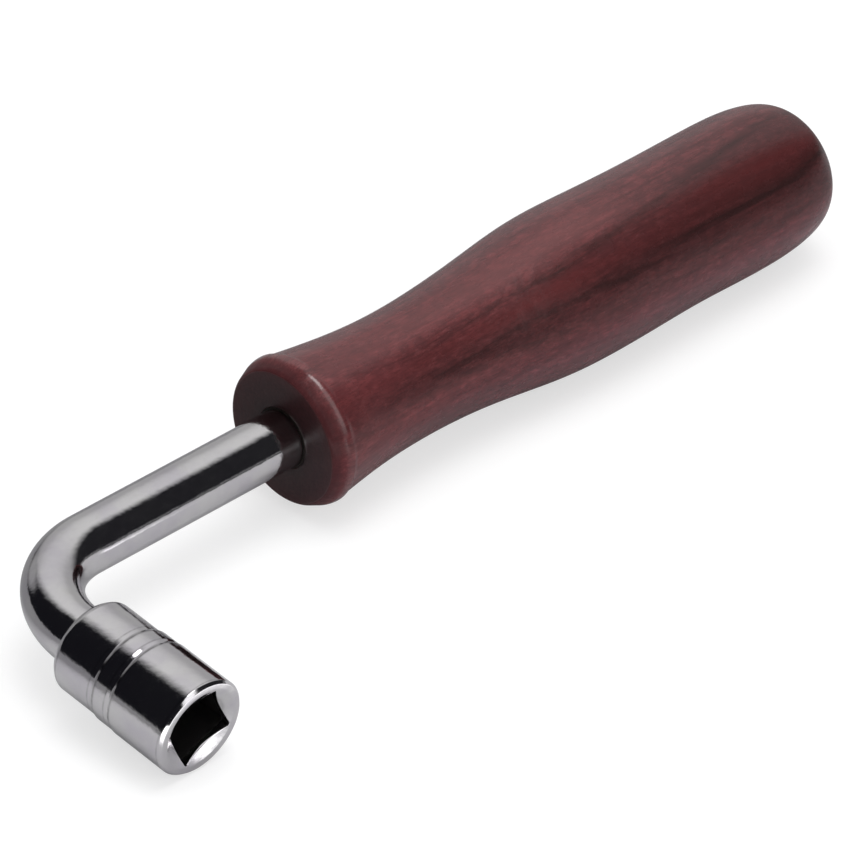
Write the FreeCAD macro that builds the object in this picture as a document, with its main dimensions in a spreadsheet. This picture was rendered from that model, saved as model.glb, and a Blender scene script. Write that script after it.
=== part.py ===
import FreeCAD, Part
import math
import os
import Sketcher
from FreeCAD import Vector

# L-shaped tuning wrench: a turned hardwood handle on a bent round steel bar, with a turned steel
# socket that has a square drive hole.
#
# Frame, in millimetres: the origin is the centre of the socket's mouth, on its flat front face.
# +X runs along the handle towards its tail, -Y is the way out of the drive hole, and +Z is normal
# to the plane of the L. The bar's two legs would meet at (0, corner_to_mouth, 0).

# ---------------------------------------------------------------- driving dimensions
CELLS = [
    # the bent bar
    ("bar_dia", 8.0),
    ("bend_radius", 12.0),       # centre line of the 90 degree bend
    ("corner_to_mouth", 34.2),   # crossing of the two legs' centre lines to the socket's mouth
    ("corner_to_handle", 45.6),  # the same crossing to the handle's front face
    ("tang_depth", 52.0),        # length of bar inside the handle
    ("tang_chamfer", 0.8),
    ("flute_start", 6.0),        # from the handle's front face
    ("flute_length", 40.0),
    ("flute_depth", 0.35),
    ("flute_width", 0.9),
    ("flute_overcut", 0.1),      # how far the flute's section reaches outside the bar
    ("flute_count", 12),
    ("spigot_dia", 6.0),         # turned-down end that enters the socket
    ("spigot_length", 7.6),
    ("spigot_chamfer", 0.4),
    ("spigot_overlap", 1.0),     # how far the spigot's solid reaches into the bar
    # the socket
    ("socket_length", 20.0),
    ("rear_dia", 12.74),
    ("band_dia", 13.14),
    ("front_dia", 13.34),
    ("back_chamfer_len", 0.8),
    ("back_chamfer_drop", 0.62),
    ("front_chamfer_len", 0.4),
    ("front_chamfer_drop", 0.35),
    ("ring_a", 9.6),             # turned V groove nearer the mouth
    ("ring_b", 12.7),            # turned V groove nearer the bar
    ("ring_half", 0.42),         # half width of a V groove
    ("ring_depth", 0.18),
    ("bore_clearance", 0.08),    # room for the brazing alloy round the spigot
    ("bore_depth", 8.0),
    ("drive_across", 7.7),       # square drive hole across flats, at the mouth
    ("drive_depth", 10.2),
    ("drive_taper", 2.0),        # degrees per side, narrowing inwards
    ("drive_turn", 23.0),        # the square's turn about the socket's axis, degrees
    ("sink_dia", 10.8),          # countersink at the mouth
    ("sink_angle", 130.0),       # its full angle, degrees
    # the handle
    ("rim_round_len", 2.2),      # starting shape of the front rim's rounding: along the axis
    ("rim_round_drop", 1.05),    # and across it
    ("hole_dia", 8.6),           # blind hole for the tang
    ("hole_depth", 53.0),        # to the end of the full diameter
    ("hole_mouth_chamfer", 0.3),
    ("drill_point_ratio", 0.6),  # length of the hole's conical end over the hole's radius
    # the joints
    ("glue_gap", 0.02),          # half of it is left clear beside the alloy and the adhesive
    ("glue_start", 0.5),         # the adhesive's setback from the handle's front face
    ("alloy_setback", 1.0),      # how far the alloy stops short of the spigot's nominal end
    ("fillet_leg", 0.45),        # the brazed joint's fillet
    # how far the turning cuts reach outside the solid
    ("overcut", 0.01),
]
# The handle's outline is a cubic spline. Its poles: (along the axis from the front face, across).
POLES = [
    (2.2, 10.39), (5.96, 9.84), (13.49, 8.81), (24.91, 8.62), (36.26, 9.65), (47.57, 11.3),
    (59.31, 11.07), (71.42, 10.72), (82.4, 11.08), (91.24, 10.72), (96.37, 9.05),
    (97.82, 4.72), (98.8, 2.93), (98.8, 0.0),
]
KNOTS = [0.0, 0.11, 0.22, 0.33, 0.44, 0.55, 0.67, 0.79, 0.87, 0.92, 0.96, 1.0]
MULTIPLICITIES = [4] + [1] * 10 + [4]
POLE_MARK_RADIUS = 0.5  # construction circles that carry the poles' dimensions

for count, (along, across) in enumerate(POLES):
    CELLS.append(("pole_%d_along" % count, along))
    CELLS.append(("pole_%d_across" % count, across))
SIZES = dict(CELLS)

# Expressions and offsets that several sketches share.
SHOULDER = "(dims.socket_length + dims.bore_clearance)"  # y where the bar steps down
SPIGOT_END = "(%s - dims.spigot_length)" % SHOULDER
TANG_END = "(dims.corner_to_handle + dims.tang_depth)"
BAR_RADIUS = "dims.bar_dia / 2"
SPIGOT_RADIUS = "dims.spigot_dia / 2"
HOLE_RADIUS = "dims.hole_dia / 2"
HALF_GAP = "dims.glue_gap / 2"
AT_HANDLE = {"Base.x": "dims.corner_to_handle", "Base.y": "dims.corner_to_mouth"}

# Sketcher's geometry numbers for the axes, and its numbers for a curve's points.
H_AXIS, V_AXIS = -1, -2
START, END, CENTRE = 1, 2, 3
ORIGIN = (H_AXIS, START)

doc = FreeCAD.newDocument("tuning_wrench")


# ---------------------------------------------------------------- helpers
def fill_sheet():
    sheet = doc.addObject("Spreadsheet::Sheet", "dims")
    for row, (alias, value) in enumerate(CELLS, start=1):
        sheet.set("A%d" % row, alias)
        sheet.set("B%d" % row, repr(value))
        sheet.setAlias("B%d" % row, alias)
    doc.recompute()


def new_body(label):
    body = doc.addObject("PartDesign::Body", label)
    body.Label = label
    return body


def new_sketch(body, name, role, offsets=None):
    """A sketch on one of the body's origin planes; offsets binds parts of its AttachmentOffset."""
    sketch = body.newObject("Sketcher::SketchObject", name)
    plane = next(item for item in body.Origin.OriginFeatures if item.Role == role)
    sketch.AttachmentSupport = [(plane, "")]
    sketch.MapMode = "FlatFace"
    for part, expression in (offsets or {}).items():
        sketch.setExpression(".AttachmentOffset." + part, expression)
    return sketch


def constrain(sketch, kind, *where):
    return sketch.addConstraint(Sketcher.Constraint(kind, *where))


def dimension(sketch, name, kind, where, expression):
    """A named dimension bound to an expression, which also gives its starting value."""
    value = float(sketch.evalExpression(expression))
    number = constrain(sketch, kind, *where, value)
    sketch.renameConstraint(number, name)
    sketch.setExpression("Constraints." + name, expression)


def polygon(sketch, corners):
    """A closed polygon from (x, y) expressions; None puts that coordinate on the axis."""

    def start_value(expression):
        return 0.0 if expression is None else float(sketch.evalExpression(expression))

    points = [Vector(start_value(x), start_value(y), 0) for x, y in corners]
    following = points[1:] + points[:1]
    for point, after in zip(points, following):
        sketch.addGeometry(Part.LineSegment(point, after), False)
    for index in range(len(points)):
        constrain(sketch, "Coincident", index, END, (index + 1) % len(points), START)
    for index, (x, y) in enumerate(corners):
        for letter, axis, expression in (("X", V_AXIS, x), ("Y", H_AXIS, y)):
            if expression is None:
                constrain(sketch, "PointOnObject", index, START, axis)
            else:
                name = "corner_%s_%d" % (letter, index)
                where = (*ORIGIN, index, START)
                dimension(sketch, name, "Distance" + letter, where, expression)
    doc.recompute()


def turn(body, kind, name, sketch, axis):
    """A full turn of the sketch about one of its own axes; kind is Revolution or Groove."""
    feature = body.newObject("PartDesign::" + kind, name)
    feature.Profile = sketch
    feature.ReferenceAxis = (sketch, [axis])
    feature.Angle = 360.0
    return feature


def revolve(body, name, sketch, axis):
    turn(body, "Revolution", name, sketch, axis)
    doc.recompute()


def groove(body, name, sketch, axis):
    turn(body, "Groove", name, sketch, axis)
    recompute_cut(body, name)


def recompute_cut(body, name, least=1.0):
    """Recomputes, and returns the volume that the body's newest feature took away."""
    before = body.Shape.Volume
    doc.recompute()
    cut = before - body.Shape.Volume
    if not cut > least:
        raise RuntimeError("%s cut only %r mm3" % (name, cut))
    return cut


# ---------------------------------------------------------------- shaft: the bent bar
def make_shaft():
    shaft = new_body("shaft")
    sweep_bar(shaft)

    # The spigot, turned down on the end of the bar.
    sketch = new_sketch(shaft, "spigot_profile", "XY_Plane")
    polygon(sketch, [
        (None, SHOULDER + " + dims.spigot_overlap"),
        (None, SPIGOT_END),
        (SPIGOT_RADIUS + " - dims.spigot_chamfer", SPIGOT_END),
        (SPIGOT_RADIUS, SPIGOT_END + " + dims.spigot_chamfer"),
        (SPIGOT_RADIUS, SHOULDER + " + dims.spigot_overlap"),
    ])
    revolve(shaft, "spigot", sketch, "V_Axis")

    # The tang's end is chamfered, so that it starts easily in the handle's hole.
    sketch = new_sketch(shaft, "tang_end_profile", "XY_Plane", {"Base.y": "dims.corner_to_mouth"})
    polygon(sketch, [
        (TANG_END + " - dims.tang_chamfer", BAR_RADIUS + " + dims.overcut"),
        (TANG_END + " + dims.overcut", BAR_RADIUS + " - dims.tang_chamfer"),
        (TANG_END + " + dims.overcut", BAR_RADIUS + " + dims.overcut"),
    ])
    groove(shaft, "tang_end", sketch, "H_Axis")

    cut_flutes(shaft)
    return shaft


def sweep_bar(shaft):
    """Round stock along the socket's axis, round the bend, and along the handle's axis."""
    bend = SIZES["bend_radius"]
    leg_y = SIZES["corner_to_mouth"]
    shoulder_y = SIZES["socket_length"] + SIZES["bore_clearance"]
    end_x = SIZES["corner_to_handle"] + SIZES["tang_depth"]

    path = new_sketch(shaft, "shaft_path", "XY_Plane")
    socket_leg = path.addGeometry(
        Part.LineSegment(Vector(0, shoulder_y, 0), Vector(0, leg_y - bend, 0)), False)
    circle = Part.Circle(Vector(bend, leg_y - bend, 0), Vector(0, 0, 1), bend)
    arc = path.addGeometry(Part.ArcOfCircle(circle, math.pi / 2, math.pi), False)
    handle_leg = path.addGeometry(
        Part.LineSegment(Vector(bend, leg_y, 0), Vector(end_x, leg_y, 0)), False)
    constrain(path, "PointOnObject", socket_leg, START, V_AXIS)
    constrain(path, "Vertical", socket_leg)
    constrain(path, "Horizontal", handle_leg)
    constrain(path, "Tangent", socket_leg, END, arc, END)
    constrain(path, "Tangent", arc, START, handle_leg, START)
    leg_end = (*ORIGIN, handle_leg, END)
    dimension(path, "shoulder", "DistanceY", (*ORIGIN, socket_leg, START), SHOULDER)
    dimension(path, "bend", "Radius", (arc,), "dims.bend_radius")
    dimension(path, "leg", "DistanceY", leg_end, "dims.corner_to_mouth")
    dimension(path, "reach", "DistanceX", leg_end, TANG_END)

    # The plane's normal is -Y, so the offset to the shoulder is negative.
    section = new_sketch(shaft, "shaft_section", "XZ_Plane", {"Base.z": "-" + SHOULDER})
    section.addGeometry(
        Part.Circle(Vector(0, 0, 0), Vector(0, 0, 1), SIZES["bar_dia"] / 2), False)
    constrain(section, "Coincident", 0, CENTRE, *ORIGIN)
    dimension(section, "stock", "Diameter", (0,), "dims.bar_dia")
    doc.recompute()

    bar = shaft.newObject("PartDesign::AdditivePipe", "bar")
    bar.Profile = section
    bar.Spine = (path, ["Edge1", "Edge2", "Edge3"])
    doc.recompute()


def cut_flutes(shaft):
    """Straight flutes on the tang give the glue its key against twisting."""
    sketch = new_sketch(shaft, "flute_profile", "YZ_Plane", {
        "Base.x": "dims.corner_to_mouth",
        "Base.z": "dims.corner_to_handle + dims.flute_start",
    })
    # A trapezium whose floor is a fifth of its width.
    mouth_y = BAR_RADIUS + " + dims.flute_overcut"
    floor_y = BAR_RADIUS + " - dims.flute_depth"
    polygon(sketch, [
        ("-(dims.flute_width / 2)", mouth_y),
        ("-(dims.flute_width / 10)", floor_y),
        ("dims.flute_width / 10", floor_y),
        ("dims.flute_width / 2", mouth_y),
    ])
    flute = shaft.newObject("PartDesign::Pocket", "flute")
    flute.Profile = sketch
    flute.Type = 0
    flute.Reversed = True
    flute.setExpression("Length", "dims.flute_length")
    one = recompute_cut(shaft, "flute")

    flutes = shaft.newObject("PartDesign::PolarPattern", "flutes")
    flutes.Originals = [flute]
    flutes.Axis = (sketch, ["N_Axis"])
    flutes.Angle = 360.0
    flutes.setExpression("Occurrences", "dims.flute_count")
    shaft.Tip = flutes
    others = recompute_cut(shaft, "flutes")
    if abs(others - one * (SIZES["flute_count"] - 1)) > 0.2 * one:
        raise RuntimeError("the other flutes cut %r mm3" % others)


# ---------------------------------------------------------------- socket: one turned barrel
def make_socket():
    socket = new_body("socket")
    sketch = new_sketch(socket, "socket_outline", "XY_Plane")
    front, band, rear = "dims.front_dia / 2", "dims.band_dia / 2", "dims.rear_dia / 2"
    bore = SPIGOT_RADIUS + " + dims.bore_clearance"
    bore_floor = "dims.socket_length - dims.bore_depth"
    polygon(sketch, [
        (None, None),
        (front + " - dims.front_chamfer_drop", None),
        (front, "dims.front_chamfer_len"),
        (front, "dims.ring_a - dims.ring_half"),
        (front + " - dims.ring_depth", "dims.ring_a"),
        (band, "dims.ring_a + dims.ring_half"),
        (band, "dims.ring_b - dims.ring_half"),
        (band + " - dims.ring_depth", "dims.ring_b"),
        (rear, "dims.ring_b + dims.ring_half"),
        (rear, "dims.socket_length - dims.back_chamfer_len"),
        (rear + " - dims.back_chamfer_drop", "dims.socket_length"),
        (bore, "dims.socket_length"),
        (bore, bore_floor),
        (None, bore_floor),
    ])
    revolve(socket, "barrel", sketch, "V_Axis")

    cut_drive_hole(socket)

    sketch = new_sketch(socket, "countersink_profile", "XY_Plane")
    polygon(sketch, [
        (None, None),
        ("dims.sink_dia / 2", None),
        (None, "dims.sink_dia / 2 / tan(dims.sink_angle / 2 * 1 deg)"),
    ])
    groove(socket, "countersink", sketch, "V_Axis")
    return socket


def cut_drive_hole(socket):
    sketch = new_sketch(socket, "drive_square", "XZ_Plane", {"Rotation.Angle": "dims.drive_turn"})
    low, high = "-(dims.drive_across / 2)", "dims.drive_across / 2"
    polygon(sketch, [(low, low), (high, low), (high, high), (low, high)])
    drive = socket.newObject("PartDesign::Pocket", "drive_hole")
    drive.Profile = sketch
    drive.Type = 0
    drive.setExpression("Length", "dims.drive_depth")
    drive.setExpression("TaperAngle", "-dims.drive_taper")
    cut = recompute_cut(socket, "drive_hole")

    # The hole is a frustum of a square pyramid; its volume shows that it narrows inwards.
    depth, mouth = SIZES["drive_depth"], SIZES["drive_across"]
    floor = mouth - 2 * depth * math.tan(math.radians(SIZES["drive_taper"]))
    expected = depth * (mouth ** 2 + mouth * floor + floor ** 2) / 3
    if abs(cut - expected) > 0.02 * expected:
        raise RuntimeError("the drive hole cut %r mm3, not %r" % (cut, expected))


# ---------------------------------------------------------------- alloy round the spigot
def make_braze_joint():
    braze = new_body("braze_joint")
    sketch = new_sketch(braze, "braze_profile", "XY_Plane")
    inner = "%s + %s" % (SPIGOT_RADIUS, HALF_GAP)
    outer = "%s + dims.bore_clearance - %s" % (SPIGOT_RADIUS, HALF_GAP)
    beside_bar = "%s + %s" % (BAR_RADIUS, HALF_GAP)
    alloy_start = "dims.socket_length - dims.spigot_length + dims.alloy_setback"
    above_socket = "dims.socket_length + " + HALF_GAP
    below_shoulder = "%s - %s" % (SHOULDER, HALF_GAP)
    polygon(sketch, [
        (inner, alloy_start),
        (outer, alloy_start),
        (outer, above_socket),
        (BAR_RADIUS + " + dims.fillet_leg", above_socket),
        (beside_bar, SHOULDER + " + dims.fillet_leg"),
        (beside_bar, below_shoulder),
        (inner, below_shoulder),
    ])
    revolve(braze, "alloy", sketch, "V_Axis")
    return braze


# ---------------------------------------------------------------- handle: turned hardwood
def make_handle():
    handle = new_body("handle")
    revolve(handle, "grip", draw_handle_outline(handle), "H_Axis")

    # The blind hole, from its chamfered mouth to the drill's point.
    sketch = new_sketch(handle, "hole_profile", "XY_Plane", AT_HANDLE)
    polygon(sketch, [
        ("-dims.overcut", None),
        ("-dims.overcut", HOLE_RADIUS + " + dims.hole_mouth_chamfer + dims.overcut"),
        ("dims.hole_mouth_chamfer", HOLE_RADIUS),
        ("dims.hole_depth", HOLE_RADIUS),
        ("dims.hole_depth + %s * dims.drill_point_ratio" % HOLE_RADIUS, None),
    ])
    groove(handle, "tang_hole", sketch, "H_Axis")
    return handle


def draw_handle_outline(handle):
    sketch = new_sketch(handle, "handle_outline", "XY_Plane", AT_HANDLE)
    spline = Part.BSplineCurve()
    poles = [Vector(along, across, 0) for along, across in POLES]
    spline.buildFromPolesMultsKnots(poles, MULTIPLICITIES, KNOTS, False, 3)
    side = sketch.addGeometry(spline, False)

    # The rounded rim is a quarter of an ellipse, centred under the spline's first point.
    rim_length, rim_drop = SIZES["rim_round_len"], SIZES["rim_round_drop"]
    front_radius = POLES[0][1] - rim_drop
    ellipse = Part.Ellipse(Vector(0, 0, 0), rim_length, rim_drop)
    ellipse.Center = Vector(rim_length, front_radius, 0)
    rim = sketch.addGeometry(Part.ArcOfEllipse(ellipse, math.pi / 2, math.pi), False)
    sketch.exposeInternalGeometry(rim)

    centre = Vector(0, 0, 0)
    face = sketch.addGeometry(Part.LineSegment(Vector(0, front_radius, 0), centre), False)
    axis = sketch.addGeometry(Part.LineSegment(centre, poles[-1]), False)

    # Construction circles hold the spline's poles; their centres carry the bound dimensions.
    marks = [
        sketch.addGeometry(Part.Circle(pole, Vector(0, 0, 1), POLE_MARK_RADIUS), True)
        for pole in poles
    ]
    alignment = "InternalAlignment:Sketcher::BSplineControlPoint"
    for index, mark in enumerate(marks):
        constrain(sketch, alignment, mark, CENTRE, side, index)
    for index, mark in enumerate(marks):
        where = (*ORIGIN, mark, CENTRE)
        cell = "pole_%d_along" % index
        dimension(sketch, cell, "DistanceX", where, "dims." + cell)
        if POLES[index][1] > 0:
            cell = "pole_%d_across" % index
            dimension(sketch, cell, "DistanceY", where, "dims." + cell)
        else:
            constrain(sketch, "PointOnObject", mark, CENTRE, H_AXIS)

    constrain(sketch, "Coincident", side, END, axis, END)
    constrain(sketch, "Coincident", side, START, rim, START)
    constrain(sketch, "Coincident", rim, END, face, START)
    constrain(sketch, "Coincident", face, END, axis, START)
    constrain(sketch, "Coincident", face, END, *ORIGIN)
    constrain(sketch, "PointOnObject", face, START, V_AXIS)
    doc.recompute()
    return sketch


# ---------------------------------------------------------------- glue between tang and handle
def make_adhesive_sleeve():
    """A sleeve round the tang, closed by a disc beyond the tang's end."""
    glue = new_body("adhesive_sleeve")
    sketch = new_sketch(glue, "glue_profile", "XY_Plane", AT_HANDLE)
    inner = "%s + %s" % (BAR_RADIUS, HALF_GAP)
    outer = "%s - %s" % (HOLE_RADIUS, HALF_GAP)
    polygon(sketch, [
        ("dims.glue_start", inner),
        ("dims.glue_start", outer),
        ("dims.hole_depth - dims.glue_gap", outer),
        ("dims.hole_depth - dims.glue_gap", None),
        ("dims.tang_depth + dims.glue_gap", None),
        ("dims.tang_depth + dims.glue_gap", inner),
    ])
    revolve(glue, "sleeve", sketch, "H_Axis")
    return glue


# ---------------------------------------------------------------- check, then write
def check(bodies):
    bad = []
    for thing in doc.Objects:
        state = [word for word in thing.State if word in ("Invalid", "Error")]
        if state:
            bad.append("%s is %s" % (thing.Label, state))
    for body in bodies:
        shape = body.Shape
        if shape.isNull() or not shape.isValid():
            bad.append(body.Label + " has no valid shape")
        elif len(shape.Solids) != 1:
            bad.append("%s has %d solids" % (body.Label, len(shape.Solids)))
    if bad:
        raise RuntimeError("; ".join(bad))


fill_sheet()
bodies = [
    make_shaft(),
    make_socket(),
    make_braze_joint(),
    make_handle(),
    make_adhesive_sleeve(),
]
doc.recompute()
check(bodies)
os.makedirs("parts", exist_ok=True)
for body in bodies:
    body.Shape.exportStep("parts/%s.step" % body.Label)
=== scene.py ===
"""A chromed L-shaped socket wrench with a lacquered rosewood handle.

Lengths are in millimetres until a mesh is made. The socket's axis is the y axis, with its mouth at
y = 0. The bar runs along +y, bends through a right angle and runs along +x into the handle, whose
axis lies at y = AXIS_Y. The L lies in the xy plane, with +z on top.
"""
import math

import bmesh
import bpy
import numpy as np
from mathutils import Matrix, Vector


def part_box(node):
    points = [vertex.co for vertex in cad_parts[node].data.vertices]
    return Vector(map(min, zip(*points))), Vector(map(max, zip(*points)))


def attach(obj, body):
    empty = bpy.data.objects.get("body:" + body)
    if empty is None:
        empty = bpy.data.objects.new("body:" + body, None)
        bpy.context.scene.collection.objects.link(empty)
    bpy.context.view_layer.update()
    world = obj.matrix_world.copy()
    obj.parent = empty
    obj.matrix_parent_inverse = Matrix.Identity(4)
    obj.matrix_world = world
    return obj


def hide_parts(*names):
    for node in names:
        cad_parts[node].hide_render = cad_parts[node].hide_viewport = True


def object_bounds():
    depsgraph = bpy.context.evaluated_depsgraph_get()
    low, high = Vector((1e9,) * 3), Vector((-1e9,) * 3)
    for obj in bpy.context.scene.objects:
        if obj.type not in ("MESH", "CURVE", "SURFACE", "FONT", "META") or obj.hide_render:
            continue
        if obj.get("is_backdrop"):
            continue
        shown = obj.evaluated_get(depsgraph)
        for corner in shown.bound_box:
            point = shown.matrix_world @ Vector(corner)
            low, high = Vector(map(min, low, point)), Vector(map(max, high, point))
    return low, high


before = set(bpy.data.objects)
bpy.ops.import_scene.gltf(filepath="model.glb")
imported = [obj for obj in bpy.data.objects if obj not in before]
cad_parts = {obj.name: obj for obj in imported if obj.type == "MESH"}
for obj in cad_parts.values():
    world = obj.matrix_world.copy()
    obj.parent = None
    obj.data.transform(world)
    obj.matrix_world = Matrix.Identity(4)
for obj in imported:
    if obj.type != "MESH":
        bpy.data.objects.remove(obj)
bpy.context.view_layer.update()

MM = 0.001

# ------------------------------------------------------------------ driving sizes
low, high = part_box("handle")
HANDLE_X, TAIL_X = low.x / MM, high.x / MM    # the handle's front face and its tail
AXIS_Y = (low.y + high.y) / 2 / MM
HANDLE_LEN = TAIL_X - HANDLE_X
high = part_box("socket")[1]
SOCKET_LEN, SOCKET_R = high.y / MM, high.x / MM
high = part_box("shaft")[1]
BAR_R, TANG_X = high.z / MM, high.x / MM      # the bar's radius and its end inside the handle

BEND_R = 12.0                                 # of the bar's centre line
HOLE_R, HOLE_DEPTH = 4.3, 53.0                # the hole in the handle
SPIGOT_R, SPIGOT_LEN = 3.0, 7.6               # the bar's thin end, inside the socket
REAR_BORE_R, REAR_BORE_DEPTH = 3.08, 8.0      # the socket's hole for the spigot
GAP = 0.012                                   # keeps touching pieces from sharing a surface
GROOVE_1_Y, GROOVE_2_Y = 9.6, 12.7            # the grooves either side of the socket's band


# ------------------------------------------------------------------ mesh helpers
def circle(count):
    return [2 * math.pi * i / count for i in range(count)]


def ring(centre, side, radii, angles):
    """Points round a centre, from the top (+z) towards side. radii: one, or one per angle."""
    centre, side, top = np.array(centre), np.array(side), np.array((0.0, 0.0, 1.0))
    return [tuple(centre + radius * (math.cos(a) * top + math.sin(a) * side))
            for radius, a in zip(np.broadcast_to(radii, len(angles)), angles)]


def turned(stations, centre_at, side, angles):
    """Rings along a straight axis from (station, radius) rows. Radius 0 gives one point."""
    return [[centre_at(s)] if np.max(radius) < 1e-6 else ring(centre_at(s), side, radius, angles)
            for s, radius in stations]


def on_handle_axis(x):
    return (x, AXIS_Y, 0.0)


def on_socket_axis(y):
    return (0.0, y, 0.0)


def solid(name, rings, crease):
    """A smooth solid skinned over rings of equal length, or single points at the ends.

    Edges at or above crease, in degrees, are marked sharp.
    """
    verts, faces, starts = [], [], []
    for points in rings:
        starts.append(len(verts))
        verts.extend(points)
    for k in range(len(rings) - 1):
        here, there = starts[k], starts[k + 1]
        count = max(len(rings[k]), len(rings[k + 1]))
        for i in range(count):
            j = (i + 1) % count
            if len(rings[k]) == 1:
                faces.append((here, there + i, there + j))
            elif len(rings[k + 1]) == 1:
                faces.append((here + i, there, here + j))
            else:
                faces.append((here + i, there + i, there + j, here + j))
    mesh = bpy.data.meshes.new(name)
    mesh.from_pydata([tuple(c * MM for c in v) for v in verts], [], faces)
    mesh.validate()
    obj = bpy.data.objects.new(name, mesh)
    bpy.context.scene.collection.objects.link(obj)

    bm = bmesh.new()
    bm.from_mesh(mesh)
    bmesh.ops.remove_doubles(bm, verts=bm.verts, dist=1e-7)
    bmesh.ops.recalc_face_normals(bm, faces=bm.faces)
    bm.to_mesh(mesh)
    bm.free()
    for polygon in mesh.polygons:
        polygon.use_smooth = True

    bm = bmesh.new()
    bm.from_mesh(mesh)
    limit = math.radians(crease)
    for edge in bm.edges:
        edge.smooth = len(edge.link_faces) == 2 and edge.calc_face_angle(0.0) < limit
    bm.to_mesh(mesh)
    bm.free()
    return obj


def rounded(corners, steps):
    """Rounds an open outline of (a, b, corner radius) rows. The end points stay as they are."""
    points = [np.array(row[:2], float) for row in corners]
    out = [tuple(points[0])]
    for i in range(1, len(points) - 1):
        corner, radius = points[i], corners[i][2]
        back, ahead = points[i - 1] - corner, points[i + 1] - corner
        back_len, ahead_len = np.linalg.norm(back), np.linalg.norm(ahead)
        if back_len < 1e-9 or ahead_len < 1e-9:
            out.append(tuple(corner))
            continue
        back, ahead = back / back_len, ahead / ahead_len
        angle = math.acos(max(-1, min(1, float(back @ ahead))))
        if angle > math.radians(179):
            out.append(tuple(corner))
            continue
        # the round takes no more than about half of either neighbouring side
        trim = min(radius / math.tan(angle / 2), 0.49 * back_len, 0.49 * ahead_len)
        radius = trim * math.tan(angle / 2)
        middle = (back + ahead) / np.linalg.norm(back + ahead)
        centre = corner + middle * (radius / math.sin(angle / 2))
        first = corner + back * trim - centre
        last = corner + ahead * trim - centre
        start = math.atan2(first[1], first[0])
        sweep = math.atan2(last[1], last[0]) - start
        sweep = (sweep + math.pi) % (2 * math.pi) - math.pi
        for k in range(steps + 1):
            a = start + sweep * k / steps
            out.append((centre[0] + radius * math.cos(a), centre[1] + radius * math.sin(a)))
    return out + [tuple(points[-1])]


def spline_points(poles, knots, count):
    """Points on a clamped cubic B-spline, by de Boor's rule."""
    degree = 3
    out = []
    for s in range(count):
        u = min(s / (count - 1) * knots[-1], knots[-1] - 1e-12)
        k = max(i for i in range(degree, len(knots) - degree - 1) if knots[i] <= u)
        work = [np.array(poles[j + k - degree], float) for j in range(degree + 1)]
        for level in range(1, degree + 1):
            for j in range(degree, level - 1, -1):
                start = knots[j + k - degree]
                span = knots[j + 1 + k - level] - start
                share = 0 if span == 0 else (u - start) / span
                work[j] = (1 - share) * work[j - 1] + share * work[j]
        out.append(tuple(work[degree]))
    return out


# ------------------------------------------------------------------ handle
# (depth behind the front face, radius) poles and the knots of the body's spline
BODY_POLES = [
    (2.2, 10.39), (5.96, 9.84), (13.49, 8.81), (24.91, 8.62), (36.26, 9.65), (47.57, 11.3),
    (59.31, 11.07), (71.42, 10.72), (82.4, 11.08), (91.24, 10.72), (96.37, 9.05), (97.82, 4.72),
    (98.8, 2.93), (98.8, 0.0),
]
BODY_KNOTS = ([0.0] * 4 + [0.11, 0.22, 0.33, 0.44, 0.55, 0.67, 0.79, 0.87, 0.92, 0.96]
              + [1.0] * 4)
# (depth, radius, corner radius) of the rim round the front face
RIM = [(0.0, 8.3, 0), (0.0, 9.24, 0.6), (0.42, 9.60, 1.5), (2.66, 10.56, 2.3), (5.4, 9.94, 0)]
FACE_INNER_R, FACE_OUTER_R, FACE_STEPS = HOLE_R + 0.16, 8.5, 9


def uneven(depth, radius, angles):
    """The radii of one ring of the handle, very slightly uneven behind the rim."""
    if depth <= 3.0 or radius <= 5:
        return radius
    radii = []
    for a in angles:
        wave = (0.018 * math.sin(0.31 * depth + 2.0 * math.sin(a))
                + 0.014 * math.sin(2 * a + 0.09 * depth + 1.0))
        fade_in = min(1.0, (depth - 3.0) / 6.0)
        fade_out = min(1.0, max(0.0, (HANDLE_LEN - depth) / 8.0))
        radii.append(radius + wave * fade_in * fade_out)
    return radii


def build_handle():
    bore = [(HOLE_DEPTH + HOLE_R * 0.6, 0.0), (HOLE_DEPTH, HOLE_R), (HOLE_DEPTH * 0.5, HOLE_R),
            (6.0, HOLE_R), (0.16, HOLE_R), (0.05, HOLE_R + 0.05)]
    face = [(0.0, FACE_INNER_R + (FACE_OUTER_R - FACE_INNER_R) * k / FACE_STEPS)
            for k in range(FACE_STEPS + 1)]
    rim = [p for p in rounded(RIM, 11)[1:-1] if p[0] < 3.0]
    body = [p for p in spline_points(BODY_POLES, BODY_KNOTS, 260) if p[0] > 3.3]
    angles = circle(224)
    stations = [(HANDLE_X + depth, uneven(depth, radius, angles))
                for depth, radius in bore + face + rim + body]
    return solid("handle_wood", turned(stations, on_handle_axis, (0, -1, 0), angles), crease=40)


def build_glue():
    """The sleeve of glue between the bar and the handle's hole."""
    bottom, tang = HOLE_DEPTH - 0.02, TANG_X - HANDLE_X + 0.02
    outline = [   # (depth behind the handle's front face, radius)
        (tang, 0.0), (tang, BAR_R + GAP), (0.10, BAR_R + GAP), (0.06, BAR_R + 0.06),
        (0.13, BAR_R + 0.15), (0.08, HOLE_R - GAP), (bottom, HOLE_R - GAP), (bottom, 0.0),
    ]
    stations = [(HANDLE_X + depth, radius) for depth, radius in outline]
    return solid("glue_line", turned(stations, on_handle_axis, (0, -1, 0), circle(96)), crease=35)


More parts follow.
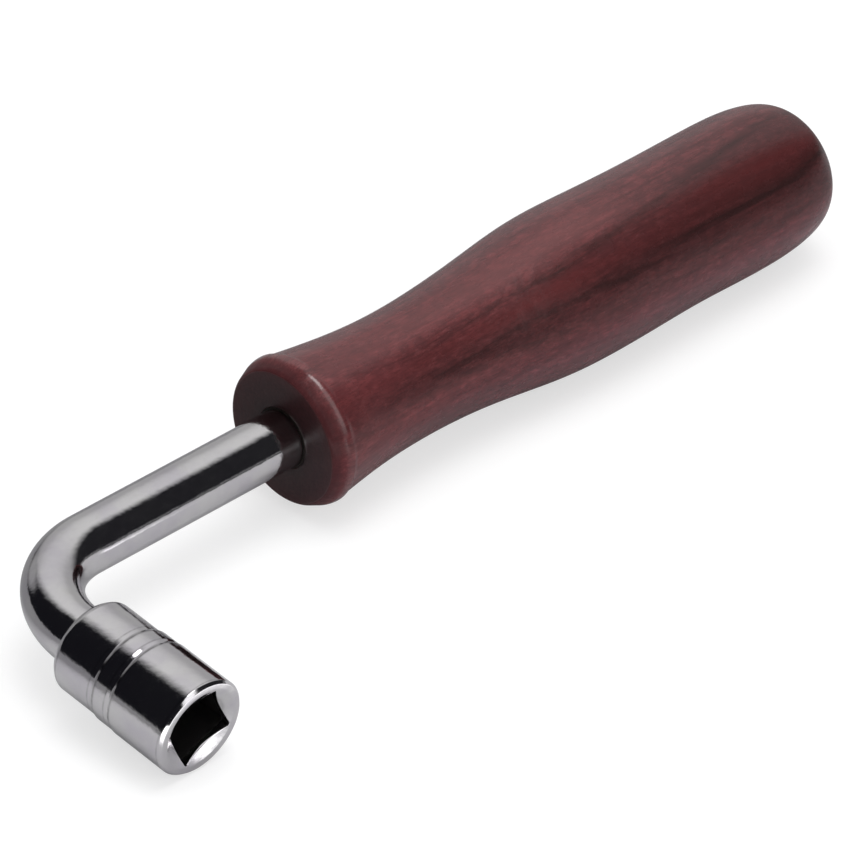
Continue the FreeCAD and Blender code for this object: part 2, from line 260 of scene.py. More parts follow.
# ------------------------------------------------------------------ shaft
def build_shaft():
    angles = circle(120)
    shoulder = SOCKET_LEN + 0.08
    spigot_end = shoulder - SPIGOT_LEN
    bend_y = AXIS_Y - BEND_R
    stations = [   # (y, radius)
        (spigot_end, 0.0), (spigot_end, SPIGOT_R - 0.4), (spigot_end + 0.4, SPIGOT_R),
        (shoulder - 0.01, SPIGOT_R), (shoulder, SPIGOT_R + 0.02), (shoulder, BAR_R - 0.03),
        (shoulder + 0.03, BAR_R),
    ]
    stations += [(y, BAR_R) for y in np.linspace(shoulder + 0.5, bend_y, 5)]
    rings = turned(stations, on_socket_axis, (-1, 0, 0), angles)
    for k in range(1, 61):
        a = math.pi / 2 * k / 60
        centre = (BEND_R - BEND_R * math.cos(a), bend_y + BEND_R * math.sin(a), 0)
        rings.append(ring(centre, (-math.cos(a), math.sin(a), 0), BAR_R, angles))
    # fine flutes along the tang: every tenth point is sunk
    fluted = [BAR_R - (0.35 if i % 10 == 0 else 0.0) for i in range(len(angles))]
    stations = [(x, BAR_R) for x in np.linspace(BEND_R + 1.0, HANDLE_X + 5.9, 40)]
    stations.append((HANDLE_X + 6.0, fluted))
    stations += [(x, fluted) for x in np.linspace(HANDLE_X + 8.0, HANDLE_X + 46.0, 12)]
    stations += [(HANDLE_X + 46.1, BAR_R), (TANG_X - 0.8, BAR_R), (TANG_X, BAR_R - 0.8),
                 (TANG_X, 0.0)]
    rings += turned(stations, on_handle_axis, (0, 1, 0), angles)
    return solid("bent_shaft", rings, crease=33)


# ------------------------------------------------------------------ socket
BAND_R, REAR_R = 6.57, 6.37
GROOVE_HALF, GROOVE_DEPTH = 0.52, 0.22
# (radius, y, corner radius) from the mouth's lip to the rear face
SOCKET_OUTLINE = [
    (5.9, 0.0, 0), (SOCKET_R - 0.35, 0.0, 0.12), (SOCKET_R, 0.4, 0.25),
    (SOCKET_R, GROOVE_1_Y - GROOVE_HALF, 0.35), (SOCKET_R - GROOVE_DEPTH, GROOVE_1_Y, 0.4),
    (BAND_R, GROOVE_1_Y + GROOVE_HALF, 0.35), (BAND_R, GROOVE_2_Y - GROOVE_HALF, 0.35),
    (BAND_R - GROOVE_DEPTH, GROOVE_2_Y, 0.4), (REAR_R, GROOVE_2_Y + GROOVE_HALF, 0.35),
    (REAR_R, SOCKET_LEN - 0.8, 0.9), (REAR_R - 0.62, SOCKET_LEN, 0.35), (3.6, SOCKET_LEN, 0),
]
REAR_BORE = [   # (radius, y)
    (REAR_BORE_R + 0.12, SOCKET_LEN), (REAR_BORE_R, SOCKET_LEN - 0.12),
    (REAR_BORE_R, SOCKET_LEN - REAR_BORE_DEPTH), (0.0, SOCKET_LEN - REAR_BORE_DEPTH),
]
# the square drive hole: across flats at the mouth, corner radius, depth, wall slope, turn about y
DRIVE_FLATS, DRIVE_CORNER, DRIVE_DEPTH = 7.7, 0.35, 10.2
DRIVE_TAPER, DRIVE_TURN = math.tan(math.radians(2.0)), math.radians(-23.0)
SINK_R, SINK_SLOPE = 5.4, math.tan(math.radians(25.0))   # the countersink round the mouth


def drive_wall(angle, depth):
    """The drive hole's radius at an angle measured from a flat's middle."""
    half = DRIVE_FLATS / 2 - DRIVE_TAPER * depth
    angle = (angle + math.pi / 4) % (math.pi / 2) - math.pi / 4
    cos, sin = math.cos(abs(angle)), math.sin(abs(angle))
    radius = half / cos
    inset = half - DRIVE_CORNER
    if radius * sin > inset:               # on the corner's round
        reach = inset * (cos + sin)
        root = reach * reach - 2 * inset * inset + DRIVE_CORNER * DRIVE_CORNER
        radius = reach + math.sqrt(max(0.0, root))
    return radius


def mouth_profile(angle):
    """(radius, y) points from the lip down the countersink and the drive hole to its floor."""
    edge_y = (SINK_R - drive_wall(angle, 0.0)) * SINK_SLOPE
    wall_r = drive_wall(angle, max(edge_y, 0.0))
    edge_y = max((SINK_R - wall_r) * SINK_SLOPE, 0.05)
    edge_r = min(wall_r, SINK_R - 0.09)
    sink_r, sink_y = SINK_R - 0.04, 0.04
    points = [(5.82, 0.0), (SINK_R + 0.07, 0.0), (SINK_R + 0.02, 0.012), (sink_r, sink_y)]
    for k in range(1, 6):
        share = k / 6
        points.append((sink_r + (edge_r + 0.07 - sink_r) * share,
                       sink_y + (edge_y - 0.02 - sink_y) * share))
    points += [(edge_r + 0.05, edge_y - 0.015), (edge_r + 0.01, edge_y + 0.02)]
    wall_y = edge_y + 0.08
    for k in range(9):
        y = wall_y + (DRIVE_DEPTH - 0.1 - wall_y) * k / 8
        points.append((min(edge_r, drive_wall(angle, y)), y))
    floor_r = drive_wall(angle, DRIVE_DEPTH)
    return points + [(floor_r - 0.08, DRIVE_DEPTH), (floor_r * 0.5, DRIVE_DEPTH)]


def build_socket():
    angles = []
    for quarter in range(4):
        for k in range(64):                # closer together towards each flat's middle
            s = 2 * (k / 64) - 1
            share = 0.5 + 0.5 * s * (0.35 + 0.65 * abs(s))
            angles.append(quarter * math.pi / 2 + (math.pi / 2) * share - math.pi / 4)
    placed = [a + DRIVE_TURN for a in angles]
    levels = list(zip(*[mouth_profile(a) for a in angles]))
    rings = [[on_socket_axis(DRIVE_DEPTH)]]
    for level in reversed(levels):
        rings.append([(r * math.sin(a), y, r * math.cos(a)) for a, (r, y) in zip(placed, level)])
    outside = [(y, r) for r, y in rounded(SOCKET_OUTLINE, 7) + REAR_BORE]
    rings += turned(outside, on_socket_axis, (1, 0, 0), placed)
    return solid("socket_barrel", rings, crease=40)


def build_braze():
    """The film of braze round the spigot and its hollow fillet behind the socket."""
    film_y, film_r, bar_r = SOCKET_LEN - 6.6, REAR_BORE_R - GAP, BAR_R + GAP
    outline = [   # (y, radius)
        (film_y, SPIGOT_R + GAP), (film_y, film_r), (SOCKET_LEN + 0.01, film_r),
        (SOCKET_LEN + 0.01, BAR_R + 0.42), (SOCKET_LEN + 0.03, BAR_R + 0.45),
    ]
    for k in range(1, 9):
        a = math.pi / 2 * k / 9
        outline.append((SOCKET_LEN + 0.03 + 0.47 * (1 - math.cos(a)),
                        bar_r + 0.43 * (1 - math.sin(a))))
    outline += [(SOCKET_LEN + 0.5, bar_r), (SOCKET_LEN + 0.07, bar_r),
                (SOCKET_LEN + 0.07, SPIGOT_R + GAP)]
    outline.append(outline[0])
    rings = turned(outline, on_socket_axis, (1, 0, 0), circle(96))
    return solid("braze_fillet", rings, crease=35)


handle = build_handle()
glue = build_glue()
shaft = build_shaft()
socket = build_socket()
braze = build_braze()


# ------------------------------------------------------------------ shader helpers
class Value:
    """A node's output. Arithmetic on it adds nodes to its tree."""

    def __init__(self, tree, output):
        self.tree, self.output = tree, output

    def calc(self, operation, *others, clamp=False):
        return calculate(operation, self, *others, clamp=clamp)

    def __add__(self, other):
        return self.calc("ADD", other)

    def __sub__(self, other):
        return self.calc("SUBTRACT", other)

    def __rsub__(self, other):
        return calculate("SUBTRACT", other, self)

    def __mul__(self, other):
        return self.calc("MULTIPLY", other)

    def __truediv__(self, other):
        return self.calc("DIVIDE", other)

    def muladd(self, factor, plus):
        return self.calc("MULTIPLY_ADD", factor, plus)

    def max(self, other):
        return self.calc("MAXIMUM", other)

    def ramp(self, start, end, to=(0.0, 1.0), kind="SMOOTHSTEP"):
        """Maps start..end to a pair of values, held beyond both ends."""
        inputs = {"Value": self, "From Min": start, "From Max": end,
                  "To Min": to[0], "To Max": to[1]}
        return operate("ShaderNodeMapRange", inputs, interpolation_type=kind, clamp=True)

    def band(self, rise, fall):
        """1 between two soft edges, 0 outside them."""
        return self.ramp(*rise) * self.ramp(*fall)

    def gauss(self, width):
        """exp(-(value / width)^2)"""
        ratio = self / width
        return (ratio * ratio * -1.0).calc("EXPONENT")

    def curve(self, points):
        """A smooth curve through (value, result) points."""
        result = operate("ShaderNodeFloatCurve", {"Value": self})
        mapping = result.output.node.mapping
        knots = mapping.curves[0].points
        knots[0].location, knots[1].location = points[0], points[-1]
        for point in points[1:-1]:
            knots.new(*point)
        mapping.update()
        return result

    def vector(self, operation, *others, output="Vector"):
        inputs = dict(enumerate((self, *others)))
        return operate("ShaderNodeVectorMath", inputs, output, operation=operation)

    def dot(self, direction):
        return self.vector("DOT_PRODUCT", tuple(direction), output="Value")

    def split(self):
        node = operate("ShaderNodeSeparateXYZ", {0: self}).output.node
        return [Value(self.tree, output) for output in node.outputs]


def feed(node, inputs):
    """Links values to a node's inputs, or sets them to constants."""
    for key, value in inputs.items():
        if isinstance(value, Value):
            value.tree.links.new(value.output, node.inputs[key])
        else:
            node.inputs[key].default_value = value


def operate(kind, inputs, output=0, **props):
    """Adds a node beside the first Value among its inputs and returns one output."""
    tree = next(value.tree for value in inputs.values() if isinstance(value, Value))
    node = tree.nodes.new(kind)
    for name, value in props.items():
        setattr(node, name, value)
    feed(node, inputs)
    return Value(tree, node.outputs[output])


def calculate(operation, *values, clamp=False):
    inputs = dict(enumerate(values))
    return operate("ShaderNodeMath", inputs, operation=operation, use_clamp=clamp)


def source(tree, kind):
    """Adds a node without inputs and returns its outputs by name."""
    return {output.name: Value(tree, output) for output in tree.nodes.new(kind).outputs}


def join(x, y, z):
    return operate("ShaderNodeCombineXYZ", {0: x, 1: y, 2: z})


def length(a, b):
    return (a * a + b * b).calc("SQRT")


def noise(point, detail, rough, stretch=None, scale=1.0, distort=0.0):
    """Noise. stretch is its frequency along x, y and z."""
    if stretch:
        point = point.vector("MULTIPLY", stretch)
    inputs = {"Vector": point, "Scale": scale, "Detail": detail, "Roughness": rough,
              "Distortion": distort}
    return operate("ShaderNodeTexNoise", inputs, noise_dimensions="3D")


def mix(factor, first, second, blend="MIX"):
    first, second = [(*c, 1.0) if isinstance(c, tuple) else c for c in (first, second)]
    inputs = {0: factor, 6: first, 7: second}
    return operate("ShaderNodeMix", inputs, output=2, data_type="RGBA", blend_type=blend)


def bump(height, strength, distance):
    inputs = {"Strength": strength, "Distance": distance, "Height": height}
    return operate("ShaderNodeBump", inputs)


def shader_tree(owner, output_kind, shader_kind):
    """Gives a material or world a shader wired to its output."""
    owner.use_nodes = True
    tree = owner.node_tree
    tree.nodes.clear()
    output = tree.nodes.new(output_kind)
    shader = tree.nodes.new(shader_kind)
    tree.links.new(shader.outputs[0], output.inputs[0])
    return tree, shader


def new_material(name):
    material = bpy.data.materials.new(name)
    return material, *shader_tree(material, "ShaderNodeOutputMaterial",
                                  "ShaderNodeBsdfPrincipled")


def to_mm(point):
    return point.vector("MULTIPLY", (1000.0, 1000.0, 1000.0))


def object_mm(tree):
    return to_mm(source(tree, "ShaderNodeTexCoord")["Object"])


# ------------------------------------------------------------------ lacquered rosewood
# In the wood, depth is millimetres behind the front face, share is depth over the length, and
# round is degrees about the axis: 0 on top, 90 on the socket's side, negative on the other.
PORE_DARK = (0.034, 0.0095, 0.0100)
# (share, round) of the two long veins' centre lines, and (share, strength) along them
VEIN_LINE = [(0.0, 53), (0.12, 52), (0.22, 56), (0.42, 54), (0.56, 56), (0.69, 50), (0.83, 51),
             (0.93, 47), (1.0, 42)]
VEIN_STRENGTH = [(0.0, 0.05), (0.1, 0.22), (0.25, 0.42), (0.4, 0.50), (0.52, 0.72),
                 (0.62, 0.62), (0.72, 0.90), (0.9, 1.12), (1.0, 1.15)]
SOFT_LINE = [(0.0, 33), (0.2, 32), (0.33, 29), (0.5, 28), (0.62, 21), (0.75, 12), (0.9, 3),
             (1.0, -2)]
SOFT_STRENGTH = [(0.0, 0.0), (0.18, 0.06), (0.3, 0.30), (0.38, 0.62), (0.45, 0.80),
                 (0.55, 0.70), (0.66, 0.56), (0.8, 0.70), (0.92, 0.5), (1.0, 0.3)]
LOW_LINE = [(0.0, 72), (0.3, 68), (0.6, 78), (1.0, 74)]
# (share, strength) of two red streaks and of the painted sheen on top
RED_LOWER = [(0.0, 0.25), (0.3, 0.55), (0.42, 0.9), (0.55, 0.5), (0.75, 0.7), (1.0, 0.8)]
RED_UPPER = [(0.0, 0.0), (0.6, 0.1), (0.75, 0.7), (0.93, 0.9), (1.0, 0.6)]
PAINTED_SHEEN_TOP = [(0.0, 0.0), (0.14, 0.35), (0.36, 0.9), (0.46, 1.0), (0.58, 0.45), (0.7, 0.0),
            (1.0, 0.0)]
# (round / 360 + 0.5, factor) on the colour and on the lacquer's weight
# the colour factor below is partly the heartwood's own tone and partly painted shade
HEARTWOOD_AND_SHADE = [(0.0, 0.80), (0.2, 0.84), (0.40, 1.0), (0.455, 0.88), (0.49, 0.88), (0.517, 0.90),
             (0.547, 0.86), (0.578, 0.78), (0.61, 0.62), (0.64, 0.57), (0.67, 0.54),
             (0.70, 0.68), (0.73, 0.88), (0.76, 0.91), (0.79, 0.86), (1.0, 0.76)]
COAT_ROUND = [(0.0, 0.7), (0.36, 1.0), (0.44, 1.0), (0.475, 0.80), (0.51, 0.73),
              (0.635, 0.73), (0.67, 0.56), (0.70, 0.47), (0.73, 0.50), (0.76, 0.63),
              (0.79, 0.68), (1.0, 0.7)]


def vein_mask(share, around, wobble, fibre):
    """Dark veins along the handle, ragged with the fibre."""
    def off_line(line, wander):
        centre = share.curve([(s, (degrees + 90.0) / 180.0) for s, degrees in line])
        return around - wobble.muladd(wander, centre.muladd(180.0, -90.0))

    # the long vein with its halo, strongest at the tail
    offset = off_line(VEIN_LINE, wander=11.0)
    strength = share.curve(VEIN_STRENGTH)
    core = offset.gauss(4.1) * strength
    halo = (offset + 2.0).gauss(8.5) * (strength * 0.55)
    # a softer one nearer the top, and a faint one low on the socket's side
    soft = off_line(SOFT_LINE, wander=8.0).gauss(3.5) * share.curve(SOFT_STRENGTH)
    low_side = off_line(LOW_LINE, wander=14.0).gauss(3.4) * 0.28
    # a pair underneath, and one on the side away from the socket
    under = (around.calc("ABSOLUTE") - wobble.muladd(26.0, 148.0)).gauss(5.0) * 0.6
    far_side = (around - wobble.muladd(22.0, -62.0)).gauss(4.0) * 0.5
    veins = core.max(halo).max(soft.max(low_side).max(under.max(far_side)))
    ragged = fibre.ramp(0.34, 0.60, to=(0.42, 1.25), kind="LINEAR")
    return veins.calc("MULTIPLY", ragged, clamp=True)


def front_end(point, depth, y, z, facing):
    """The dark front end, and painted shade round the bar: its mask and its colour. facing is the
    normal's x.
    """
    face = facing.ramp(-0.80, -0.97) * depth.ramp(2.4, 0.2)
    mask = face.max(depth.ramp(2.1, 0.6) * 0.76)
    speck = noise(point, stretch=(1.0, 2.6, 2.6), detail=4.0, rough=0.7)
    off_axis = length(y, z)
    colour = mix(speck.ramp(0.35, 0.7), (0.0150, 0.0050, 0.0060), (0.029, 0.0095, 0.0112))
    colour = mix(off_axis.ramp(7.0, 9.9, to=(0.0, 0.75)), colour, (0.040, 0.0110, 0.0125))
    # painted shade: darker close round the bar, where the bar shades the face
    colour = mix(off_axis.ramp(6.6, 4.2, to=(0.0, 0.6)), colour, (0.0075, 0.0030, 0.0034))
    return mask, colour


def rosewood():
    material, tree, shader = new_material("lacquered_rosewood")
    point = object_mm(tree).vector("SUBTRACT", (HANDLE_X, AXIS_Y, 0.0))
    depth, y, z = point.split()
    around = (y * -1.0).calc("ARCTAN2", z) * (180 / math.pi)
    share = depth.calc("DIVIDE", HANDLE_LEN, clamp=True)
    facing = source(tree, "ShaderNodeNewGeometry")["Normal"].split()[0]

    # slow and quicker wander of the grain
    slow = noise(point, stretch=(0.022, 0.07, 0.07), detail=2.0, rough=0.5) - 0.5
    wobble = noise(point, stretch=(0.11, 0.12, 0.12), detail=3.0, rough=0.6) - 0.5
    # growth layers: rings about a pith far outside the handle
    pith = length(y + slow.muladd(9.0, 31.0), z + wobble.muladd(2.2, 12.0))
    layers = noise(join(pith * 0.42, depth * 0.004, 3.7), detail=3.0, rough=0.62)
    fibre = noise(point, stretch=(0.060, 1.25, 1.25), detail=6.0, rough=0.70, distort=0.35)
    fine = noise(point, stretch=(0.22, 5.2, 5.2), detail=3.0, rough=0.6)
    cloud = noise(point, stretch=(0.05, 0.16, 0.16), detail=3.0, rough=0.55)
    fleck = noise(point, stretch=(0.75, 6.0, 6.0), detail=2.0, rough=0.5)
    mottle = noise(point, stretch=(0.55, 0.9, 0.9), detail=4.0, rough=0.6)

    base = mix(layers.ramp(0.33, 0.67), (0.078, 0.0180, 0.0192), (0.122, 0.0290, 0.0312))
    for pattern, start, end, to, colour in (
        (cloud, 0.35, 0.7, (0.0, 0.5), (0.138, 0.036, 0.038)),
        (fibre, 0.50, 0.70, (0.0, 0.72), (0.040, 0.0110, 0.0118)),   # dark fibres
        (fibre, 0.47, 0.29, (0.0, 0.58), (0.205, 0.0480, 0.0510)),   # bright fibres
        (fine, 0.32, 0.52, (0.52, 0.0), PORE_DARK),
        (fleck, 0.58, 0.68, (0.0, 0.55), PORE_DARK),                 # short dark pores
        (fleck, 0.44, 0.32, (0.0, 0.36), (0.200, 0.064, 0.068)),     # paler flecks
        (mottle, 0.42, 0.58, (0.0, 0.50), (0.055, 0.0160, 0.0180)),
    ):
        base = mix(pattern.ramp(start, end, to=to), base, colour)

    # redder wood between the veins and at the tail, then the veins
    red_lower = (around - 41.0).gauss(8.0) * share.curve(RED_LOWER)
    red_upper = (around - 31.0).gauss(9.0) * share.curve(RED_UPPER)
    base = mix(red_lower.max(red_upper) * 0.68, base, (0.122, 0.0145, 0.0150))
    veins = vein_mask(share, around, wobble, fibre)
    base = mix(veins * 0.88, base, (0.022, 0.0078, 0.0074))

    # heartwood tone and painted shade: darkest in a broad band on the socket's side
    heart_and_shade = (around + slow * 10.0).muladd(1 / 360.0, 0.5).curve(HEARTWOOD_AND_SHADE)
    heart_and_shade = join(heart_and_shade, heart_and_shade.muladd(0.96, 0.03), heart_and_shade.muladd(0.96, 0.03))
    base = mix(1.0, base, heart_and_shade, "MULTIPLY")
    base = mix(1.0, base, (1.09, 1.08, 1.08), "MULTIPLY")

    # darker towards the tail on the socket's side, a painted sheen on top, a dark top at the tail
    tail = depth.ramp(34.0, 80.0) * around.band(rise=(-8.0, 22.0), fall=(86.0, 60.0))
    base = mix(tail * 0.42, base, (0.022, 0.0060, 0.0062))
    # painted sheen: a pale patch on top of the handle's shoulder
    painted_sheen = (around - 6.0).gauss(13.0) * share.curve(PAINTED_SHEEN_TOP)
    base = mix(painted_sheen * 0.26, base, (0.250, 0.085, 0.085))
    dusk = depth.ramp(55.0, 98.0) * around.band(rise=(-30.0, 0.0), fall=(40.0, 15.0))
    base = mix(dusk * 0.30, base, (0.030, 0.0085, 0.0090))
    # slightly brighter at the front
    base = mix(depth.ramp(24.0, 8.0, to=(0.0, 0.10)), base, (0.200, 0.045, 0.049))

    # across the tail's end the growth layers are cut the other way
    cut = noise(join(pith * 0.9, 1.3, 2.1), detail=4.0, rough=0.65)
    dots = noise(point, stretch=(1.6, 4.2, 4.2), detail=3.0, rough=0.6)
    cap = mix(cut.ramp(0.32, 0.68), (0.042, 0.0105, 0.0115), (0.094, 0.0215, 0.0230))
    cap = mix(dots.ramp(0.52, 0.68, to=(0.0, 0.55)), cap, (0.026, 0.0075, 0.0080))
    base = mix(depth.ramp(96.2, 97.9), base, cap)

    end_mask, end_colour = front_end(point, depth, y, z, facing)
    base = mix(end_mask * 0.93, base, end_colour)
    # a cooler tone low on the socket's side: a painted tint of the sheen there
    cool_sheen_tint = around.band(rise=(66.0, 100.0), fall=(150.0, 115.0))
    cool_sheen_tint = cool_sheen_tint * depth.ramp(2.0, 60.0, to=(0.45, 1.0))
    base = mix(cool_sheen_tint, base, base.vector("MULTIPLY", (0.99, 1.0, 1.16)))

    # pores under the lacquer, and a lacquer film that isn't quite level
    pore = noise(point, stretch=(0.55, 7.5, 7.5), detail=2.0, rough=0.5).ramp(0.62, 0.75)
    film = noise(point, stretch=(0.35, 0.5, 0.5), detail=3.0, rough=0.55)
    # lacquer: thin at the rim, thick on its crest, and its own weight on the front face
    crest = depth.band(rise=(1.75, 2.15), fall=(3.1, 2.6))
    coat = depth.ramp(1.4, 2.2, to=(0.24, 0.90)) + crest * 0.46
    coat = coat * around.muladd(1 / 360.0, 0.5).curve(COAT_ROUND)
    on_face = facing.ramp(-0.75, -0.97)
    duller = (on_face * 0.18).max(depth.ramp(3.0, 7.0, to=(0.0, 0.13)))
    feed(shader, {
        "Base Color": base,
        "Normal": bump(pore * -0.5 + fibre * 0.5, strength=0.22, distance=0.00012),
        "Roughness": fibre.ramp(0.3, 0.7, to=(0.42, 0.55)),
        "Specular IOR Level": 0.05,
        "Coat Normal": bump(film, strength=0.25, distance=0.0003),
        "Coat Weight": coat * (1.0 - on_face) + on_face * 0.50,
        "Coat Roughness": film.ramp(0.3, 0.7, to=(0.12, 0.16)) + duller,
        "Coat IOR": 1.5,
    })
    return material


# ------------------------------------------------------------------ metals and glue
SHADE_LINES = (   # (y, width, strength) of the lines of painted shade round the socket: in its grooves, by its rounded ends and at the joint behind it
    (GROOVE_1_Y - 0.40, 0.20, 0.50), (GROOVE_1_Y + 0.62, 0.13, 0.30),
    (GROOVE_2_Y - 0.42, 0.22, 0.60), (GROOVE_2_Y + 0.62, 0.13, 0.30),
    (SOCKET_LEN + 0.12, 0.16, 0.75), (SOCKET_LEN - 0.95, 0.12, 0.30), (0.62, 0.12, 0.25),
)


def polished_metal(name, tint, rough):
    def shade(*factors):
        return tuple(c * factor for c, factor in zip(tint, factors))

    material, tree, shader = new_material(name)
    point = object_mm(tree)
    haze = noise(point, scale=0.16, detail=4.0, rough=0.6)
    smear = noise(point, stretch=(0.5, 0.9, 0.9), detail=5.0, rough=0.62, distort=0.6)
    grain = noise(point, scale=6.0, detail=3.0, rough=0.6)
    colour = mix(haze.ramp(0.35, 0.68), tint, shade(0.90, 0.885, 0.93))
    colour = mix(smear.ramp(0.55, 0.8, to=(0.0, 0.35)), colour, shade(0.86, 0.86, 0.82))

    x, y, z = point.split()
    # painted shade: dark lines along the grooves and joints
    painted_shade = None
    for line_y, width, strength in SHADE_LINES:
        line = (y - line_y).gauss(width) * strength
        painted_shade = painted_shade.max(line) if painted_shade else line
    patchy = noise(point, scale=0.9, detail=3.0, rough=0.6).ramp(0.3, 0.65, to=(0.45, 1.1))
    near_socket = x.ramp(7.0, 8.0, to=(1.0, 0.0))
    painted_shade = (painted_shade * patchy).calc("MULTIPLY", near_socket, clamp=True)
    colour = mix(painted_shade, colour, (0.045, 0.040, 0.038))
    # painted shade darkens the metal down the drive hole, and the metal there is duller
    hole = length(x, z).ramp(5.9, 5.6) * y.band(rise=(0.75, 1.6), fall=(11.5, 10.8))
    colour = mix(hole * 0.9, colour, (0.085, 0.080, 0.076))

    dulling = grain.ramp(0.4, 0.7, to=(0.0, 0.02)) + hole * 0.28
    # the surface keeps a trace of the polishing under it
    peel = noise(point, scale=0.55, detail=3.0, rough=0.55)
    feed(shader, {
        "Base Color": colour,
        "Metallic": 1.0,
        "Roughness": smear.ramp(0.35, 0.75, to=(rough * 0.8, rough * 1.6)) + dulling,
        "Normal": bump(peel + grain * 0.035, strength=0.16, distance=0.00022),
    })
    return material


def epoxy():
    material, tree, shader = new_material("epoxy")
    lumps = noise(object_mm(tree), scale=1.6, detail=3.0, rough=0.6)
    feed(shader, {
        "Base Color": mix(lumps.ramp(0.35, 0.65), (0.010, 0.0065, 0.0055), (0.020, 0.013, 0.010)),
        "Roughness": lumps.ramp(0.3, 0.7, to=(0.5, 0.65)),
        "Specular IOR Level": 0.2,
        "Normal": bump(lumps, strength=0.3, distance=0.0001),
    })
    return material


WOOD = rosewood()
CHROME = polished_metal("chromed_steel", tint=(0.60, 0.590, 0.592), rough=0.085)
EPOXY = epoxy()
BRAZE = polished_metal("braze_alloy", tint=(0.60, 0.585, 0.55), rough=0.2)

for obj, node, slot, material in (
    (handle, "handle", "lacquered_rosewood", WOOD),
    (shaft, "shaft", "chromed_steel", CHROME),
    (socket, "socket", "chromed_steel", CHROME),
    (glue, "adhesive_sleeve", "epoxy", EPOXY),
    (braze, "braze_joint", "braze_alloy", BRAZE),
):
    obj.data.materials.append(material)
    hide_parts(node)
    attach(obj, "root")

# ------------------------------------------------------------------ floor
# The tool lies on its handle and its socket, so the floor leans to the plane of the L.
HANDLE_REST_R = 11.15
FLOOR_DROP = 11.19                            # from the handle's axis down to the floor
FLOOR_HALF = 3                                # metres
TILT = math.atan2(HANDLE_REST_R - SOCKET_R, AXIS_Y)
FLOOR_UP = Vector((0.0, math.sin(TILT), math.cos(TILT)))


def pale_floor():
    """A floor that looks different to the camera, to reflections and to diffuse light."""
    material, tree, shader = new_material("pale_floor")
    ray = source(tree, "ShaderNodeLightPath")
    point = source(tree, "ShaderNodeTexCoord")["Object"]
    mottle = noise(point, scale=9.0, detail=4.0, rough=0.6)
    colour = mix(mottle.ramp(0.3, 0.7), (0.80, 0.80, 0.80), (0.83, 0.83, 0.83))
    colour = mix(ray["Is Camera Ray"], colour, (0.42, 0.42, 0.42))
    # in reflections it dims beyond the handle's axis and far out on the socket's side
    x, y, _ = to_mm(point).split()
    behind = y.ramp(-6.0, 24.0, to=(1.0, 0.48))
    far = x.ramp(25.0, 60.0) * y.ramp(-95.0, -170.0)
    mirrored = mix(behind * far.muladd(-0.9, 1.0), (0.0, 0.0, 0.0), (0.60, 0.60, 0.61))
    # and a pool on the socket's side glows
    pool = y.ramp(-39.0, -48.0) * x.ramp(60.0, 35.0)
    glow = pool * 1.6 * ray["Is Glossy Ray"]
    feed(shader, {
        "Base Color": mix(ray["Is Glossy Ray"], colour, mirrored),
        "Roughness": 0.9,
        "Specular IOR Level": 0.0,
        "Emission Color": (1.0, 1.0, 1.0, 1.0),
        "Emission Strength": ray["Is Camera Ray"] * 0.60 + glow,
    })
    return material


floor_mesh = bpy.data.meshes.new("floor")
floor_mesh.from_pydata([(x * FLOOR_HALF, y * FLOOR_HALF, 0)
                        for x, y in ((-1, -1), (1, -1), (1, 1), (-1, 1))], [], [(0, 1, 2, 3)])
floor = bpy.data.objects.new("floor", floor_mesh)
bpy.context.scene.collection.objects.link(floor)
floor.rotation_mode = "QUATERNION"
floor.rotation_quaternion = Vector((0, 0, 1)).rotation_difference(FLOOR_UP)
floor.location = Vector((0.0, AXIS_Y, 0.0)) * MM - FLOOR_UP * (FLOOR_DROP * MM)
floor.data.materials.append(pale_floor())
floor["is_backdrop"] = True


# ------------------------------------------------------------------ world: what the chrome reflects
WALL_DIRECTION = Vector((0.615, 0.615, 0.493)).normalized()
LAMP_DIRECTION = Vector((0.03, 0.05, 0.99)).normalized()
LOBE_DIRECTION = Vector((0.04, 0.98, 0.15)).normalized()
# (height above the floor's plane, brightness) of the wall
WALL_BRIGHTNESS = [(0.0, 0.50), (0.15, 0.52), (0.41, 0.56), (0.63, 0.77), (0.80, 0.87),
                   (1.0, 0.90)]


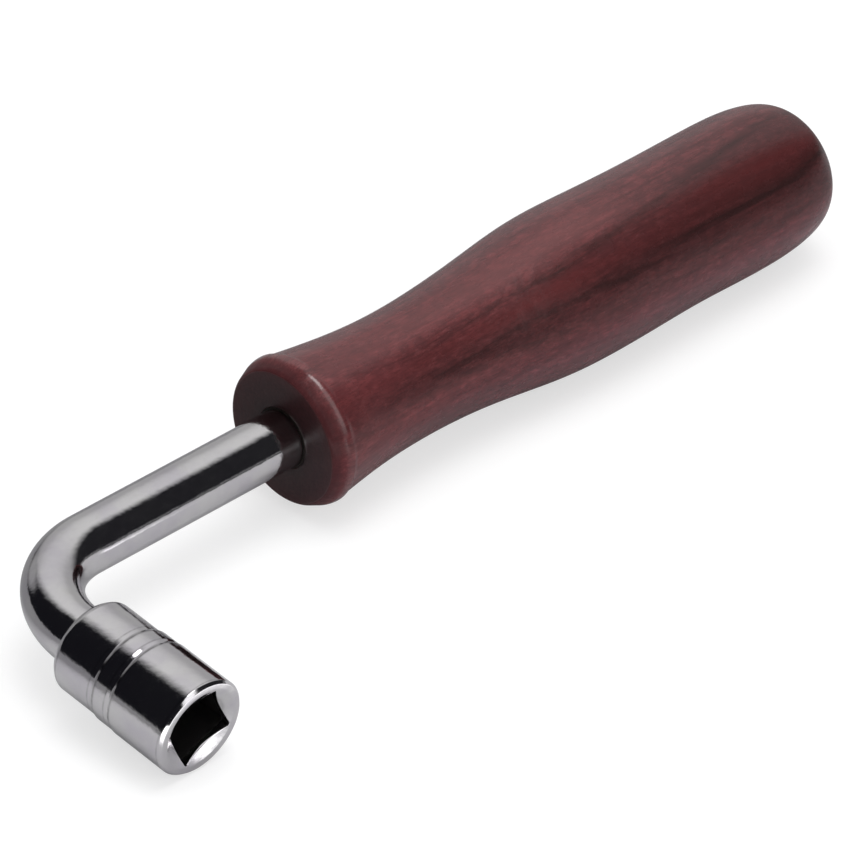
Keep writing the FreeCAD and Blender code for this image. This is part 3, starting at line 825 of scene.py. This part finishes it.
def build_world():
    world = bpy.data.worlds.new("studio")
    bpy.context.scene.world = world
    tree, background = shader_tree(world, "ShaderNodeOutputWorld", "ShaderNodeBackground")
    look = source(tree, "ShaderNodeTexCoord")["Generated"].vector("NORMALIZE")
    height = look.dot(FLOOR_UP)
    x, y, _ = look.split()

    light = look.dot(WALL_DIRECTION).ramp(0.63, 0.87) * height.curve(WALL_BRIGHTNESS)
    light = light.max(x.ramp(-0.2, 0.5, to=(0.011, 0.022)))       # the dim rest of the room
    light = light.max(height.ramp(0.07, -0.04, to=(0.0, 0.55)))   # from the horizon down
    # a lamp overhead, cut off towards -x
    lamp = look.dot(LAMP_DIRECTION).ramp(0.955, 0.990, to=(0.0, 7.0))
    light = light.max(lamp * x.ramp(-0.13, 0.0))
    # a soft spot low towards +y
    light = light.max(look.dot(LOBE_DIRECTION).ramp(0.945, 0.995, to=(0.0, 0.42)))
    # a tall narrow window on the socket's side
    window = (x + -0.06).calc("ABSOLUTE").ramp(0.32, 0.14) * y.ramp(0.10, -0.10)
    window = window * height.ramp(-0.04, 0.16)
    window = window * height.ramp(0.15, 0.40, to=(1.1, 1.65))
    light = light.max(window)

    ray = source(tree, "ShaderNodeLightPath")
    diffuse = mix(height.ramp(0.0, 1.0), (0.62, 0.62, 0.63), (0.72, 0.72, 0.73))
    colour = mix(ray["Is Diffuse Ray"], join(light, light, light + 0.003), diffuse)
    feed(background, {"Color": mix(ray["Is Camera Ray"], colour, (1.0, 1.0, 1.0))})


build_world()

# ------------------------------------------------------------------ lights, in metres
LIGHT_TARGET = Vector((0.07, 0.03, 0.0))
for name, place, energy in (
    ("overhead", (0.12, 0.10, 0.95), 3.2),
    ("front_fill", (0.05, -0.80, 0.45), 3.0),
):
    light = bpy.data.lights.new(name, "AREA")
    light.shape = "DISK"
    light.size = 0.9
    light.energy = energy
    lamp = bpy.data.objects.new(name, light)
    bpy.context.scene.collection.objects.link(lamp)
    lamp.location = place
    lamp.rotation_mode = "QUATERNION"
    lamp.rotation_quaternion = (LIGHT_TARGET - Vector(place)).to_track_quat("-Z", "Y")
    lamp.visible_glossy = False

# ------------------------------------------------------------------ camera
RIGHT = Vector((0.71001558, -0.69895396, 0.08568107))
UP = Vector((0.39237735, 0.49372102, 0.77606673))
FORWARD = Vector((0.58473745, 0.51740015, -0.62480332))
CAMERA_PLACE = Vector((-0.3458991, -0.3375543, 0.4354282))   # metres

camera_data = bpy.data.cameras.new("camera")
camera_data.sensor_width = 36.0
camera_data.lens = 226.182083
camera_data.clip_start, camera_data.clip_end = 0.02, 20.0
camera = bpy.data.objects.new("camera", camera_data)
bpy.context.scene.collection.objects.link(camera)
pose = Matrix((RIGHT, UP, -FORWARD)).transposed().to_4x4()
pose.translation = CAMERA_PLACE
camera.matrix_world = pose
bpy.context.scene.camera = camera
bpy.context.scene.view_settings.view_transform = "Standard"
bpy.context.scene.view_settings.look = "None"

low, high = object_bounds()
